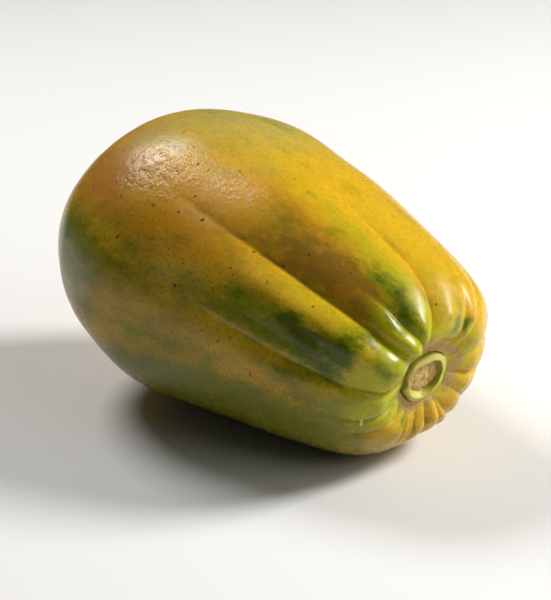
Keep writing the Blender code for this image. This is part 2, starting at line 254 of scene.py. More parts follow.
# Angle of each lengthwise mesh line at one distance. Near the stem end the lines run
# along the furrows, and toward the belly they spread out evenly.
def columnAngles(distance):
    steps = papaya["stepsAround"]
    marked = [furrow[0] % 360.0 for furrow in furrowsAt(papaya["lobeDistance"])]
    columns = [round(angle / 360.0 * steps) for angle in marked]
    angles = [furrow[0] % 360.0 for furrow in furrowsAt(distance)]
    columns = [columns[-1] - steps] + columns + [columns[0] + steps]
    angles = [angles[-1] - 360.0] + angles + [angles[0] + 360.0]
    spread = smoothStep(*papaya["evenColumns"], distance)
    found = []
    for column in range(steps):
        at = max(i for i in range(len(columns) - 1) if columns[i] <= column)
        t = (column - columns[at]) / (columns[at + 1] - columns[at])
        angle = angles[at] + (angles[at + 1] - angles[at]) * t
        even = 360.0 * column / steps
        found.append(angle + turned(even - angle) * spread)
    return found


crispWidth = 1.5        # width of the narrow lip of a furrow
creaseRound = 0.3       # rounding at the bottom of a furrow
leastRadius = 8.0       # below this radius, widths are no longer squeezed


# Height of the skin over the plain outline, in mm, along its normal.
def relief(distance, angle, radius, furrowsHere, creasesHere):
    arc = math.radians(1.0) * max(radius, leastRadius)
    height = 0.0
    for centre, depth, lowWidth, highWidth, lowCrisp, highCrisp in furrowsHere:
        if depth <= 0.0:
            continue
        offset = turned(angle - centre) * arc
        width, crisp = (lowWidth, lowCrisp) if offset < 0 else (highWidth, highCrisp)
        away = math.hypot(offset, creaseRound)
        height -= depth * (1.0 - crisp) * max(1.0 - away / width, 0.0) ** 2
        height -= depth * crisp * max(1.0 - away / crispWidth, 0.0) ** 2
    for centre, depth, width in creasesHere:
        offset = turned(angle - centre) * arc
        height -= depth * math.exp(-(offset / width) ** 2)
    return height


# Soft creases, and ridges with a negative depth, that the mesh lines don't follow: path of
# (distance, angle), depth, width.
softCreases = [
    ([(26, 143), (40, 143), (60, 143), (80, 142.5), (96, 141.5)], -2.2, 8.5),
    ([(38, 157), (47, 153.5), (60, 150.5), (72, 149)], 0.35, 2.4),
    ([(34, 163), (48, 160), (70, 158), (95, 157)], 0.3, 2.6),
    ([(30, 181), (45, 178), (60, 176)], 0.35, 3.0),
    ([(26, 75), (34, 72), (46, 72)], 0.4, 3.0),
    ([(24, 90), (32, 86), (42, 82)], 0.3, 3.0),
    ([(24, 232), (34, 228), (50, 222)], 0.4, 3.0),
    ([(22, 252.5), (26, 253), (31, 255)], 0.7, 0.8),
]

# Rises and hollows of the skin: distance, angle, height, reach along, reach around. First
# the lobes that stand up around the scar, then the broad fullness of the fruit.
swells = [
    (25, 150, 2.8, 8, 11), (26, 122.5, 2.4, 7, 4.5), (28, 107, 2.2, 8, 4.5), (27, 82, 1.4, 8, 8),
    (46, 38, 0.3, 12, 16), (68, 40, 1.0, 18, 22), (90, 42, 0.2, 18, 20), (115, 45, 0.3, 22, 24),
    (36, 18, -1.5, 13, 13), (36, 355, -1.8, 13, 13), (36, 328, -1.8, 13, 13), (36, 300, -0.6, 13, 12),
    (42, 276, -1.9, 14, 12), (56, 242, 0.4, 16, 14), (165, 220, 0.5, 18, 18), (190, 216, -0.5, 14, 16),
    (206, 200, -0.5, 12, 16), (212, 180, -0.9, 12, 16), (230, 130, -1.6, 14, 20), (222, 105, -0.8, 14, 20),
    (205, 85, -0.2, 18, 20), (180, 64, -0.2, 20, 20),
]


farReach = 2.6          # past this many reaches a bump is too low to matter


def creasesAt(distance):
    found = []
    for at, centre, rise, along, around in swells:
        if abs(distance - at) < farReach * along:
            found.append((centre, -rise * math.exp(-((distance - at) / along) ** 2), around))
    for path, depth, width in softCreases:
        start, end = path[0][0], path[-1][0]
        if start - 8 < distance < end + 12:
            fadeIn = smoothStep(start - 8, start + 6, distance)
            fadeOut = 1.0 - smoothStep(end - 12, end + 12, distance)
            found.append((curveAt(path, distance), depth * (fadeIn * fadeOut), width))
    return found


# The stub of the stalk: a raised rim around sunken pith, seated in a shallow socket.
stub = {
    # angle and radius around the outer edge, the crest of the rim and the edge of the pith
    "outline": [
        (16, 10.3), (46, 11.7), (79, 11.6), (110, 11.4), (130, 11.7), (145, 11.1), (163, 9.9), (182, 9.4),
        (194, 10.6), (212, 10.7), (246, 11.3), (268, 9.9), (290, 9.6), (325, 9.9), (350, 9.1),
    ],
    "crest": [
        (16, 7.7), (37, 8.5), (61, 9.2), (84, 9.1), (99, 8.8), (119, 9.2), (136, 9.9), (154, 9.1),
        (181, 8.4), (198, 8.9), (224, 9.4), (254, 9.4), (284, 8.3), (307, 7.4), (323, 7.2), (357, 7.1),
    ],
    "pithEdge": [
        (16, 6.9), (59, 7.5), (99, 7.0), (136, 8.0), (163, 7.6), (203, 6.9), (224, 7.0), (254, 6.8),
        (284, 6.6), (303, 6.4), (327, 6.6), (355, 6.7),
    ],
    "meanRadius": 10.5,
    "height": 2.6,
    "edge": 0.6,
    "gap": 0.3,
    "crevices": [(186, 1.3, 15), (112, 0.35, 16)],     # angle, extra gap, reach
    "pithDrop": 2.7,
    "scarFloor": 4.5,
    "socketDepth": 1.6,
    "outlineFade": (13.0, 24.0),
    "rimWander": 0.3,
    "cutWander": 0.35,
    "cutGrain": 0.1,
    "lowSide": (172.0, 42.0, 0.6),      # angle, reach, drop of the rim
    "paleSide": (245.0, 42.0),          # angle and reach of the pale part of the inner wall
    "stepsAround": 180,
}


def stubRadius(angle):
    return ringAt(stub["outline"], angle)


# Radius of the socket the stub sits in.
def socketRadius(angle):
    gap = stub["gap"]
    for centre, extra, reach in stub["crevices"]:
        gap += extra * math.exp(-(turned(angle - centre) / reach) ** 2)
    return stubRadius(angle) + gap


# Droop and lean of the stem end, for a point at a depth below it, then the tilt at rest.
def place(depth, across, up):
    shift = 1.0 - smoothStep(0.0, papaya["shiftReach"], depth)
    lean = 1.0 - smoothStep(0.0, papaya["slopeReach"], depth)
    slopeAcross, slopeUp = papaya["scarSlope"]
    shiftAcross, shiftUp = papaya["scarShift"]
    x = papaya["length"] / 2 - depth + (slopeUp * up + slopeAcross * across) * lean
    y = across + shiftAcross * shift
    z = up * papaya["heightRatio"] + shiftUp * shift
    tilt = math.radians(papaya["restTilt"])
    return Vector((x * math.cos(tilt) + z * math.sin(tilt), y, z * math.cos(tilt) - x * math.sin(tilt)))


# Depth and radius of the skin at a distance and an angle, with its furrows and lobes.
def skinAt(distance, angle, furrowsHere, creasesHere):
    radius = tableAt(radii, distance)
    keep = 1.0 - smoothStep(*stub["outlineFade"], distance)
    radius *= 1.0 + keep * (stubRadius(angle) / stub["meanRadius"] - 1.0)
    slopeX = tableAt(depths, distance + 0.5) - tableAt(depths, distance - 0.5)
    slopeR = tableAt(radii, distance + 0.5) - tableAt(radii, distance - 0.5)
    size = math.hypot(slopeX, slopeR)
    height = relief(distance, angle, radius, furrowsHere, creasesHere)
    height += unevenness(distance, angle, radius)
    return tableAt(depths, distance) - height * slopeR / size, radius + height * slopeX / size


# Slow swells and small lengthwise ripples, which keep the highlights from looking machined.
def unevenness(distance, angle, radius):
    y = radius * math.cos(math.radians(angle))
    z = radius * math.sin(math.radians(angle))
    slow = noise.noise(Vector((distance, y, z)) / papaya["swellSize"] + Vector((3.1, 7.7, 1.9)))
    quick = noise.noise(Vector((distance * 0.35, y, z)) / papaya["rippleSize"] + Vector((9.4, 2.2, 5.1)))
    fade = smoothStep(14.0, 30.0, distance)
    fade *= 1.0 - smoothStep(skinLength - 25.0, skinLength - 5.0, distance)
    return (slow * papaya["swellHeight"] + quick * papaya["rippleHeight"]) * fade


# Turns rings about the X axis. Each ring's mark stays on its vertices.
def turnRings(marks, places, steps):
    mesh = bmesh.new()
    layer = mesh.verts.layers.float.new("mark")
    verts = []
    for mark, (x, r) in zip(marks, places):
        vert = mesh.verts.new((x, 0.0, r))
        vert[layer] = mark
        verts.append(vert)
    edges = [mesh.edges.new(pair) for pair in zip(verts, verts[1:])]
    bmesh.ops.spin(
        mesh, geom=verts + edges, cent=(0, 0, 0), axis=(1, 0, 0),
        angle=2 * math.pi, steps=steps, use_merge=True,
    )
    bmesh.ops.remove_doubles(mesh, verts=mesh.verts, dist=0.001)
    return mesh, layer


def finishPiece(name, mesh):
    bmesh.ops.recalc_face_normals(mesh, faces=mesh.faces)
    data = bpy.data.meshes.new(name)
    mesh.to_mesh(data)
    mesh.free()
    data.shade_smooth()
    piece = bpy.data.objects.new(name, data)
    bpy.context.scene.collection.objects.link(piece)
    return piece


# Patches of colour, specks, bloom and wrinkles, and thin amber strips of painted shade in the
# creases: distance, angle, half length along, half width around, strength.
patches = {
    "ochre": [
        (118, 112, 26, 14, 0.5), (140, 126, 26, 18, 0.9), (112, 139, 22, 8, 0.6), (150, 142, 20, 9, 0.8),
        (168, 150, 16, 6, 0.6), (48, 87, 12, 4, 0.7), (78, 107, 22, 3, 0.8), (95, 107, 16, 4, 0.4),
        (32, 222, 11, 10, 0.8), (44, 214, 8, 8, 0.5), (120, 172, 10, 8, 0.3), (162, 196, 14, 9, 0.5),
        (90, 250, 40, 16, 0.3), (160, 330, 30, 20, 0.4), (40, 60, 10, 10, 0.3), (36, 86, 6, 6, 0.1),
    ],
    "dusky": [
        (130, 156, 26, 8, 0.6), (95, 163, 14, 4, 0.3), (178, 88, 26, 20, 1.0), (192, 112, 12, 9, 0.6),
        (150, 78, 18, 18, 0.4), (170, 62, 24, 14, 0.7), (130, 99, 6, 6, 0.3), (185, 30, 22, 26, 0.6),
        (190, 330, 22, 24, 0.4),
    ],
    "blush": [
        (184, 134, 14, 12, 1.0), (198, 132, 12, 18, 0.6), (168, 122, 12, 11, 0.35), (174, 143, 12, 6, 0.5),
        (205, 112, 12, 12, 0.3), (148, 148, 4, 4, 0.3), (130, 144, 10, 5, 0.3), (206, 150, 9, 10, 0.2),
    ],
    # the broad amber patches are the skin's own amber; the thin strips along the creases and on the flanks
    # beside them are painted shade
    "amberAndCreaseShade": [
        (62, 118, 20, 9, 1.0), (84, 117, 16, 10, 0.85), (100, 122, 14, 8, 0.4), (52, 121, 8, 6, 0.8),
        (60, 110, 12, 3, 0.4), (41, 90, 8, 1.6, 0.8), (120, 129, 20, 2.5, 0.5), (84, 129, 26, 2, 0.3),
        (112, 104, 12, 5, 0.2), (100, 110, 12, 4, 0.3), (28, 262, 6, 1.2, 0.6), (26, 279, 6, 1.4, 0.7),
        (22, 322, 7, 7, 0.3),
        (118, 170, 8, 8, 0.25), (155, 205, 12, 9, 0.4), (36, 90, 5, 4, 0.15), (150, 147, 12, 5, 0.2),
    ],
    "lime": [
        (36, 79, 9, 7, 0.4),
        (13, 0, 3.5, 8, 0.9), (14, 330, 3, 6, 0.6), (16, 40, 5, 6, 0.5),
        (22, 122, 13, 14, 0.9), (26, 147, 12, 10, 0.9), (24, 172, 14, 14, 0.9), (26, 196, 12, 10, 0.5),
        (38, 184, 9, 9, 0.6), (62, 97, 26, 4, 0.5), (48, 101, 10, 5, 0.5), (104, 94, 30, 3, 0.25),
        (36, 104, 9, 5, 0.7), (20, 214, 6, 12, 0.2), (36, 202, 10, 7, 0.3), (54, 78, 5, 7, 0.3),
        (27, 72, 5, 4, 0.4), (26, 50, 6, 6, 0.4), (27, 85, 5, 7, 0.2), (24, 30, 6, 8, 0.4),
        (42, 122, 9, 6, 0.8), (62, 135, 24, 4, 0.4), (22, 5, 6, 10, 0.35), (182, 152, 20, 4, 0.3),
        (60, 340, 20, 12, 0.3),
    ],
    "olive": [
        (98, 114, 14, 6, 0.5), (145, 210, 20, 8, 0.5),
        (150, 152, 14, 5, 0.4), (186, 155, 10, 6, 0.4), (60, 197, 16, 8, 0.75), (85, 196, 20, 7, 1.0),
        (112, 201, 22, 9, 1.1), (140, 204, 20, 10, 1.0),
        (75, 212, 26, 9, 1.2), (110, 213, 30, 9, 1.2), (145, 212, 24, 10, 1.0), (46, 206, 9, 7, 0.4),
        (84, 157, 14, 9, 0.8), (106, 158, 14, 6, 0.55), (62, 172, 14, 5, 0.7), (55, 184, 12, 4, 0.4),
        (150, 166, 22, 10, 0.4), (128, 162, 20, 8, 0.35), (130, 184, 18, 8, 0.45), (158, 160, 16, 7, 0.2),
        (178, 166, 18, 13, 0.6), (195, 162, 12, 12, 0.6), (176, 186, 14, 8, 0.5), (194, 186, 14, 12, 0.5),
        (206, 170, 10, 22, 0.4), (165, 212, 14, 12, 0.7), (90, 178, 60, 12, 0.25), (28, 70, 6, 4, 0.3),
        (34, 178, 8, 9, 0.2), (24, 145, 8, 8, 0.25), (52, 107, 12, 3, 0.4),
        (80, 228, 40, 12, 1.2), (130, 228, 34, 14, 1.0), (100, 245, 44, 12, 0.9), (150, 250, 34, 20, 0.7),
        (72, 240, 16, 9, 0.6), (110, 285, 40, 22, 0.6), (70, 270, 18, 14, 0.5), (100, 325, 34, 14, 0.5),
        (160, 300, 30, 20, 0.5), (60, 20, 20, 14, 0.4), (130, 345, 30, 12, 0.6), (90, 5, 26, 6, 0.6),
        (120, 20, 30, 10, 0.3),
        (195, 250, 20, 40, 0.6), (35, 320, 8, 10, 0.3), (195, 60, 14, 20, 0.4),
    ],
    "green": [
        (135, 206, 22, 7, 0.35), (105, 196, 20, 5, 0.3), (150, 182, 10, 7, 0.25), (105, 180, 8, 5, 0.2),
        (83, 182, 6, 5, 0.25), (45, 192, 8, 6, 0.3), (152, 186, 26, 3, 0.2),
        (30.5, 147, 4.5, 3.5, 0.5), (42, 137, 5, 4, 0.45), (60, 101, 12, 3, 0.4), (50, 103, 7, 3, 0.5),
        (60, 106, 5, 2, 0.1), (82, 103, 6, 2.5, 0.3), (40, 108, 5, 2, 0.4), (46, 118, 6, 2.5, 0.5),
        (31, 107, 4, 3, 0.4), (36, 70, 8, 2.0, 0.3),
        (28, 70.5, 5, 2, 0.2), (28.6, 52, 4, 2.0, 0.35), (20, 240, 3, 1.2, 0.7), (45, 180, 8, 3, 0.3),
        (49, 148, 5.5, 8, 0.8), (54, 158, 8, 5, 0.6), (60, 149, 9, 6, 0.8), (70, 148, 6, 4, 1.0),
        (62, 157, 14, 6, 0.6), (48, 167, 7, 3, 0.5), (78, 150, 7, 5, 0.5), (76, 160, 10, 4, 0.3),
        (90, 154, 8, 7, 0.35), (101, 157, 6, 6, 0.4), (97, 150, 6, 4, 0.25),
        (54, 107, 7, 2.5, 0.6), (44, 108, 8, 3, 0.4), (66, 105, 8, 2.5, 0.2),
        (128, 99, 5, 4, 0.2), (152, 98, 7, 6, 0.2), (162, 108, 4, 3, 0.15), (38, 116, 6, 3, 0.3),
        (58, 191, 14, 2.5, 0.4), (84, 193, 14, 3, 0.45), (88, 200, 6, 5, 0.35), (64, 206, 6, 6, 0.25),
        (106, 188, 8, 4, 0.25), (115, 199, 10, 7, 0.3), (80, 218, 14, 9, 0.5), (112, 216, 12, 8, 0.4),
        (132, 216, 12, 8, 0.3), (48, 200, 5, 5, 0.2), (184, 169, 16, 12, 0.65), (198, 160, 9, 8, 0.3),
        (204, 172, 10, 18, 0.4), (175, 158, 10, 5, 0.15), (28, 72, 4, 4, 0.25), (27, 52, 4, 4, 0.3),
        (74, 240, 13, 8, 0.4), (95, 262, 26, 12, 0.6), (70, 285, 14, 10, 0.4), (130, 285, 20, 14, 0.5),
        (100, 330, 20, 9, 0.5), (165, 245, 18, 14, 0.4), (140, 350, 18, 8, 0.5), (85, 15, 16, 5, 0.5),
    ],
    "speckle": [
        (110, 20, 50, 36, 0.4), (120, 320, 56, 40, 0.5), (60, 290, 24, 30, 0.4),
        (110, 200, 40, 16, 0.5), (150, 150, 20, 12, 0.4),
        (75, 208, 40, 16, 0.6), (185, 180, 30, 30, 0.4), (60, 110, 24, 8, 0.35), (45, 150, 14, 8, 0.5),
        (100, 176, 46, 18, 0.7), (95, 150, 24, 10, 0.8), (120, 196, 40, 14, 0.8), (60, 184, 18, 12, 0.5),
        (135, 150, 30, 16, 0.45), (150, 100, 26, 16, 0.3), (165, 168, 24, 20, 0.4), (55, 165, 14, 9, 0.5),
        (110, 270, 60, 40, 0.5), (120, 340, 60, 40, 0.4), (84, 112, 16, 10, 0.3), (128, 120, 16, 12, 0.2),
    ],
    "bloom": [
        (48, 96, 16, 6, 1.0), (43, 77, 12, 6, 1.0), (38, 60, 12, 8, 0.6),
    ],
    "wrinkle": [
        (128, 112, 12, 6, 0.5),
        (166, 124, 13, 12, 1.0), (150, 118, 12, 11, 0.5), (180, 124, 10, 12, 0.5), (118, 110, 10, 8, 0.35),
        (190, 200, 16, 16, 0.3),
    ],
}
# wander at patch edges, in mm, and spread of a patch around the fruit
patchEdge = {"size": 11.0, "reach": 3.5, "lengthwise": 1.4, "around": 1.15, "seed": 1}


# Strength of one kind of patch at a place on the skin.
def patchAt(near, distance, angle, arc):
    total = 0.0
    for at, centre, along, around, strength in near:
        a = (distance - at) / along
        b = turned(angle - centre) * arc / (around * patchEdge["around"])
        total += strength * math.exp(-(a * a + b * b))
    return total


# Corky scar around the stub, as bands: distance, angle and half width along each one.
scarBands = [
    [(12.0, 188, 0.6), (12.2, 160, 0.6), (13.0, 138, 0.9), (17.5, 121, 2.4), (18.5, 108, 4.2),
     (16.5, 92, 3.4), (13.6, 72, 2.2), (12.8, 52, 1.7), (15.6, 31, 1.4)],
    [(17.6, 16, 1.3), (16.4, 7, 1.6), (16.4, 354, 1.6), (16.0, 341, 1.7), (16.3, 329, 1.5),
     (16.9, 320, 1.2)],
    [(16.0, 300, 0.8), (15.2, 290, 1.1), (14.3, 278, 1.2), (13.8, 265, 1.3), (14.4, 250, 1.5),
     (13.0, 240, 1.3), (12.3, 225, 1.1), (12.0, 207, 1.1), (12.0, 190, 0.7)],
    [(12.2, 204, 1.0), (14.6, 201, 0.5)],
]


def flatPlace(distance, angle):
    return Vector((distance * math.cos(math.radians(angle)), distance * math.sin(math.radians(angle))))


# Corky scar at a place: strength, and the distance in mm from the middle of its band.
def corkAt(distance, angle):
    here = flatPlace(distance, angle)
    best = (9.0, 0.0)
    for band in scarBands:
        for (s0, a0, w0), (s1, a1, w1) in zip(band, band[1:]):
            start = flatPlace(s0, a0)
            step = flatPlace(s1, a1) - start
            t = min(max((here - start).dot(step) / step.length_squared, 0.0), 1.0)
            away = here - start - step * t
            side = 1.0 if step.x * away.y - step.y * away.x > 0 else -1.0
            best = min(best, (away.length / (w0 + (w1 - w0) * t), side * away.length))
    return 1.0 - smoothStep(0.5, 2.3, best[0]), best[1]


# Mesh rings of the socket, at distances from the middle of the scar, and where the skin starts.
socketRings = {
    "floor": (0.0, 3.0, 6.0, 9.0, 9.6, 10.0),
    "lip": (10.6, 11.2),
    "skin": 12.0,
    "corkEnd": 30.0,
    "wallRise": 0.35,
}


def makeSkin():
    noise.seed_set(patchEdge["seed"])       # without it, patch edges move from run to run
    steps = papaya["stepsAround"]
    marks = list(socketRings["floor"] + socketRings["lip"])
    socketEdge = socketRings["floor"][-1]
    at = socketRings["skin"]
    while at < skinLength - papaya["fineRing"]:
        marks.append(at)
        near = 1.0 - smoothStep(*papaya["closeRings"], at)
        at += papaya["coarseRing"] + (papaya["fineRing"] - papaya["coarseRing"]) * near
    marks.append(skinLength)
    marks = [round(m, 3) for m in marks]
    mesh, layer = turnRings(marks, [(tableAt(depths, m), tableAt(radii, m)) for m in marks], steps)
    kinds = list(patches) + ["cork", "corkSpread", "tips"]
    layers = {kind: mesh.verts.layers.float.new(kind) for kind in kinds}
    rings = {}
    for mark in marks:
        near = {
            kind: [p for p in patches[kind] if abs(p[0] - mark) < farReach * p[2]]
            for kind in patches
        }
        rings[mark] = (furrowsAt(mark), creasesAt(mark), columnAngles(mark), near)
    for vert in mesh.verts:
        mark = round(vert[layer], 3)
        furrowsHere, creasesHere, angles, near = rings[mark]
        radius = math.hypot(vert.co.y, vert.co.z)
        turn = math.degrees(math.atan2(vert.co.z, vert.co.y)) % 360.0
        angle = angles[round(turn / 360.0 * steps) % steps]
        if mark <= socketEdge:
            wall = smoothStep(socketRings["floor"][-2], socketEdge, mark)
            depth = stub["scarFloor"] + stub["socketDepth"] * (1.0 - socketRings["wallRise"] * wall)
            radius *= socketRadius(angle) / socketEdge
        elif mark < socketRings["skin"]:
            depth = stub["scarFloor"]
            lip = tableAt(radii, socketRings["skin"]) * stubRadius(angle) / stub["meanRadius"]
            share = (mark - socketEdge) / (socketRings["skin"] - socketEdge)
            radius = socketRadius(angle) + (lip - socketRadius(angle)) * share
        elif radius > 0.01:
            depth, radius = skinAt(mark, angle, furrowsHere, creasesHere)
        else:
            depth = papaya["length"]
        across = radius * math.cos(math.radians(angle))
        up = radius * math.sin(math.radians(angle))
        vert.co = place(depth, across, up)
        warpAt = Vector((mark, across, up)) / patchEdge["size"]
        warp = noise.noise_vector(warpAt) * patchEdge["reach"]
        along = mark + warp.x * patchEdge["lengthwise"]
        arc = math.radians(1.0) * max(radius, leastRadius)
        for kind, patchList in near.items():
            vert[layers[kind]] = patchAt(patchList, along, angle + warp.y / arc, arc)
        cork = float(mark < socketRings["skin"])
        spread = 0.0
        if socketRings["skin"] <= mark < socketRings["corkEnd"]:
            cork, spread = corkAt(mark, angle)
        vert[layers["cork"]] = cork
        vert[layers["corkSpread"]] = spread
        vert[layers["tips"]] = smoothStep(12.0, 24.0, mark) * (1.0 - smoothStep(45.0, 80.0, mark))
    return finishPiece("papaya_skin", mesh)


def stubRings():
    bottom = stub["scarFloor"] + stub["socketDepth"] - stub["gap"]
    top = stub["scarFloor"] - stub["height"]
    return bottom, top


# Radius on the rim of the stub: 0 at its outer edge, 1 at its crest, 2 at the pith.
def rimRadius(angle, across):
    crest = ringAt(stub["crest"], angle)
    if across < 1.0:
        return stubRadius(angle) + (crest - stubRadius(angle)) * across
    return crest + (ringAt(stub["pithEdge"], angle) - crest) * (across - 1.0)


# Rim of the stub, from under its outer wall over the cut top and down to the pith.
def makeStub():
    bottom, top = stubRings()
    edge = stub["edge"]
    lowAngle, lowReach, lowDrop = stub["lowSide"]
    paleAngle, paleReach = stub["paleSide"]
    stations = [  # depth, and place across the rim
        (bottom, 0.5), (bottom, 0.15), (bottom - edge, 0.0), (top + 1.7, -0.02), (top + 1.0, 0.02),
        (top + 0.62, 0.14), (top + 0.36, 0.4), (top + 0.12, 0.75), (top, 0.96), (top + 0.1, 1.06),
        (top + 0.5, 1.2), (top + 1.3, 1.5), (top + stub["pithDrop"] + 0.2, 2.0),
        (top + stub["pithDrop"] + 1.0, 2.2),
    ]
    fine = []
    for (d0, w0), (d1, w1) in zip(stations, stations[1:]):
        for k in range(4):
            fine.append((d0 + (d1 - d0) * k / 4, w0 + (w1 - w0) * k / 4))
    fine.append(stations[-1])
    fine = [(bottom, None)] + fine + [(stations[-1][0], None)]
    marks = list(range(len(fine)))
    places = [(d, 0.0 if w is None else stub["meanRadius"] - 2.0 * w) for d, w in fine]
    mesh, layer = turnRings(marks, places, stub["stepsAround"])
    layers = {kind: mesh.verts.layers.float.new(kind) for kind in ("cut", "innerWall", "low")}
    for vert in mesh.verts:
        depth, width = fine[round(vert[layer])]
        angle = math.degrees(math.atan2(vert.co.z, vert.co.y)) % 360.0
        radius = 0.0
        if width is not None:
            around = Vector((math.cos(math.radians(angle)), math.sin(math.radians(angle)), width * 0.7))
            raised = 1.0 - smoothStep(top + 0.2, bottom, depth)
            radius = rimRadius(angle, width) + stub["rimWander"] * noise.noise(around * 2.6) * raised
            slow = stub["cutWander"] * noise.noise(around * 1.9 + Vector((4, 4, 4)))
            depth -= (slow + stub["cutGrain"] * noise.noise(around * 9)) * raised
            depth += lowDrop * math.exp(-(turned(angle - lowAngle) / lowReach) ** 2) * raised
            vert[layers["cut"]] = smoothStep(0.05, 0.25, width) * (1.0 - smoothStep(1.02, 1.2, width))
            vert[layers["innerWall"]] = smoothStep(1.05, 1.25, width)
            vert[layers["low"]] = math.exp(-(turned(angle - paleAngle) / paleReach) ** 2)
        turn = math.radians(angle)
        vert.co = place(depth, radius * math.cos(turn), radius * math.sin(turn))
    return finishPiece("stalk_rim", mesh)


# Pith in the middle of the stub: a lumpy, fibrous disc that bulges a little.
pith = {
    "rings": 34,
    "reach": 8.0,
    "bulge": 0.5,
    "thickness": 0.8,
    "lumpSize": 2.6,
    "lumpHeight": 0.5,
    "underRim": 0.35,       # how far it runs in under the inner wall
}


def makePith():
    top = stubRings()[1]
    level = top + stub["pithDrop"]
    under = level + pith["thickness"]
    count = pith["rings"]
    reach = pith["reach"]
    marks = list(range(count + 3))
    places = [
        (level - pith["bulge"] * math.cos(math.pi / 2 * k / count), reach * k / count)
        for k in range(count + 1)
    ]
    places += [(under, reach), (under, 0.0)]
    mesh, layer = turnRings(marks, places, stub["stepsAround"])
    layers = {kind: mesh.verts.layers.float.new(kind) for kind in ("hollow", "middle")}
    for vert in mesh.verts:
        mark = round(vert[layer])
        angle = math.degrees(math.atan2(vert.co.z, vert.co.y)) % 360.0
        share = math.hypot(vert.co.y, vert.co.z) / reach
        radius = share * (ringAt(stub["pithEdge"], angle) + pith["underRim"])
        y = radius * math.cos(math.radians(angle))
        z = radius * math.sin(math.radians(angle))
        lumps = noise.fractal(Vector((y * 1.3, z * 0.8, 0.0)) / pith["lumpSize"], 0.8, 2.1, 4)
        depth = vert.co.x
        if mark <= count:
            depth -= pith["lumpHeight"] * lumps
        vert[layers["hollow"]] = smoothStep(0.0, 0.5, -lumps)
        vert[layers["middle"]] = 1.0 - smoothStep(0.25, 0.95, share)
        vert.co = place(depth, y, z)
    return finishPiece("stalk_pith", mesh)


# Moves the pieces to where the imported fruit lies, presses the lowest skin flat, and turns
# millimetres into metres.
def setDown(pieces):
    low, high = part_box("fruit")
    skin = [v.co for v in pieces[0].data.vertices]
    shift = []
    for axis in range(2):
        middle = (min(p[axis] for p in skin) + max(p[axis] for p in skin)) / 2
        shift.append((low[axis] + high[axis]) / 2 / mm - middle)
    shift.append(low[2] / mm - min(p.z for p in skin) - papaya["pressDepth"])
    move = Vector(shift)
    for piece in pieces:
        for vert in piece.data.vertices:
            spot = vert.co + move
            vert.co = Vector((spot.x, spot.y, max(spot.z, 0.0))) * mm
        piece.data.update()
    return move


skinPiece = makeSkin()
rimPiece = makeStub()
pithPiece = makePith()
pieces = [skinPiece, rimPiece, pithPiece]
setDownShift = setDown(pieces)
print("pieces made:", *[len(piece.data.polygons) for piece in pieces])


def hexColour(code):
    channels = [int(code[i:i + 2], 16) / 255 for i in (1, 3, 5)]
    linear = [c / 12.92 if c <= 0.04045 else ((c + 0.055) / 1.055) ** 2.4 for c in channels]
    return (*linear, 1.0)


# Noise scale for a feature of a size in mm.
def perMm(size):
    return 1.0 / (size * mm)


# Adds a node, with its inputs as values or links, and its settings. Gives one of its outputs.
def addNode(tree, kind, inputs=(), out=0, **settings):
    made = tree.nodes.new("ShaderNode" + kind)
    for name, value in settings.items():
        setattr(made, name, value)
    pairs = inputs.items() if isinstance(inputs, dict) else enumerate(inputs)
    for name, value in pairs:
        if isinstance(value, bpy.types.NodeSocket):
            tree.links.new(value, made.inputs[name])
        else:
            made.inputs[name].default_value = value
    return made.outputs[out] if made.outputs else None


tint = {"out": 2, "data_type": "RGBA"}              # a mix of colours: 0 share, 6 from, 7 to
soft = {"interpolation_type": "SMOOTHSTEP"}         # a range with soft ends: value, low, high


def startMaterial(name, colourCodes):
    material = bpy.data.materials.new(name)
    material.use_nodes = True
    tree = material.node_tree
    tree.nodes.clear()
    shader = addNode(tree, "BsdfPrincipled").node
    addNode(tree, "OutputMaterial", {"Surface": shader.outputs["BSDF"]})
    colour = {shade: hexColour(code) for shade, code in colourCodes.items()}
    return material, tree, shader, colour


# Lenticels that stand out: distance, angle, radius in mm, darkness.
lenticels = [
    (128, 131, 1, 1.0), (124, 159, 0.88, 0.9), (100, 131, 0.72, 0.9), (87, 129, 1.04, 0.7),
    (140, 133, 0.8, 0.9), (139, 124.5, 0.72, 0.9), (145, 113, 0.72, 0.9), (146, 129, 0.64, 0.7),
    (134, 106, 0.8, 0.8), (131, 103, 0.56, 0.7), (151, 113, 0.72, 0.9), (152.5, 135.5, 0.72, 0.8),
    (159.5, 130, 0.88, 0.8), (161, 152, 0.96, 0.8), (67, 137, 0.72, 0.7), (115, 94, 0.64, 0.6),
    (105, 95, 0.56, 0.5), (124.5, 149.5, 0.64, 0.7), (124.5, 181, 0.8, 0.7), (93, 169, 0.72, 0.8),
    (82, 182, 0.96, 0.7), (98, 173, 0.8, 0.7), (99, 168, 0.64, 0.7), (82, 118, 0.72, 0.6),
    (66, 113, 0.64, 0.4), (103, 142, 0.64, 0.7), (143, 182, 0.64, 0.5), (145, 157, 0.64, 0.6),
    (145, 147, 0.64, 0.5), (161, 108, 0.72, 0.7), (162, 110, 0.56, 0.6), (172, 87, 0.64, 0.4),
    (174, 104, 0.96, 0.5), (162, 97, 0.64, 0.5), (177, 112, 0.96, 0.5), (178, 168, 0.72, 0.5),
    (175, 173, 0.72, 0.5), (183, 158, 0.8, 0.5), (194, 140, 0.88, 0.5), (193, 122, 0.8, 0.4),
    (206, 148, 0.96, 0.5), (38.4, 85.6, 0.6, 0.9), (31, 81, 0.5, 0.5), (26.7, 129, 0.6, 0.6),
    (13.4, 88.5, 0.7, 0.9), (171, 138, 0.64, 0.8), (95, 152, 0.56, 0.6), (87, 157, 0.64, 0.7),
    (126, 210, 0.64, 0.5), (110, 175, 0.56, 0.5), (76, 168, 0.64, 0.5), (70, 173, 0.72, 0.6),
]

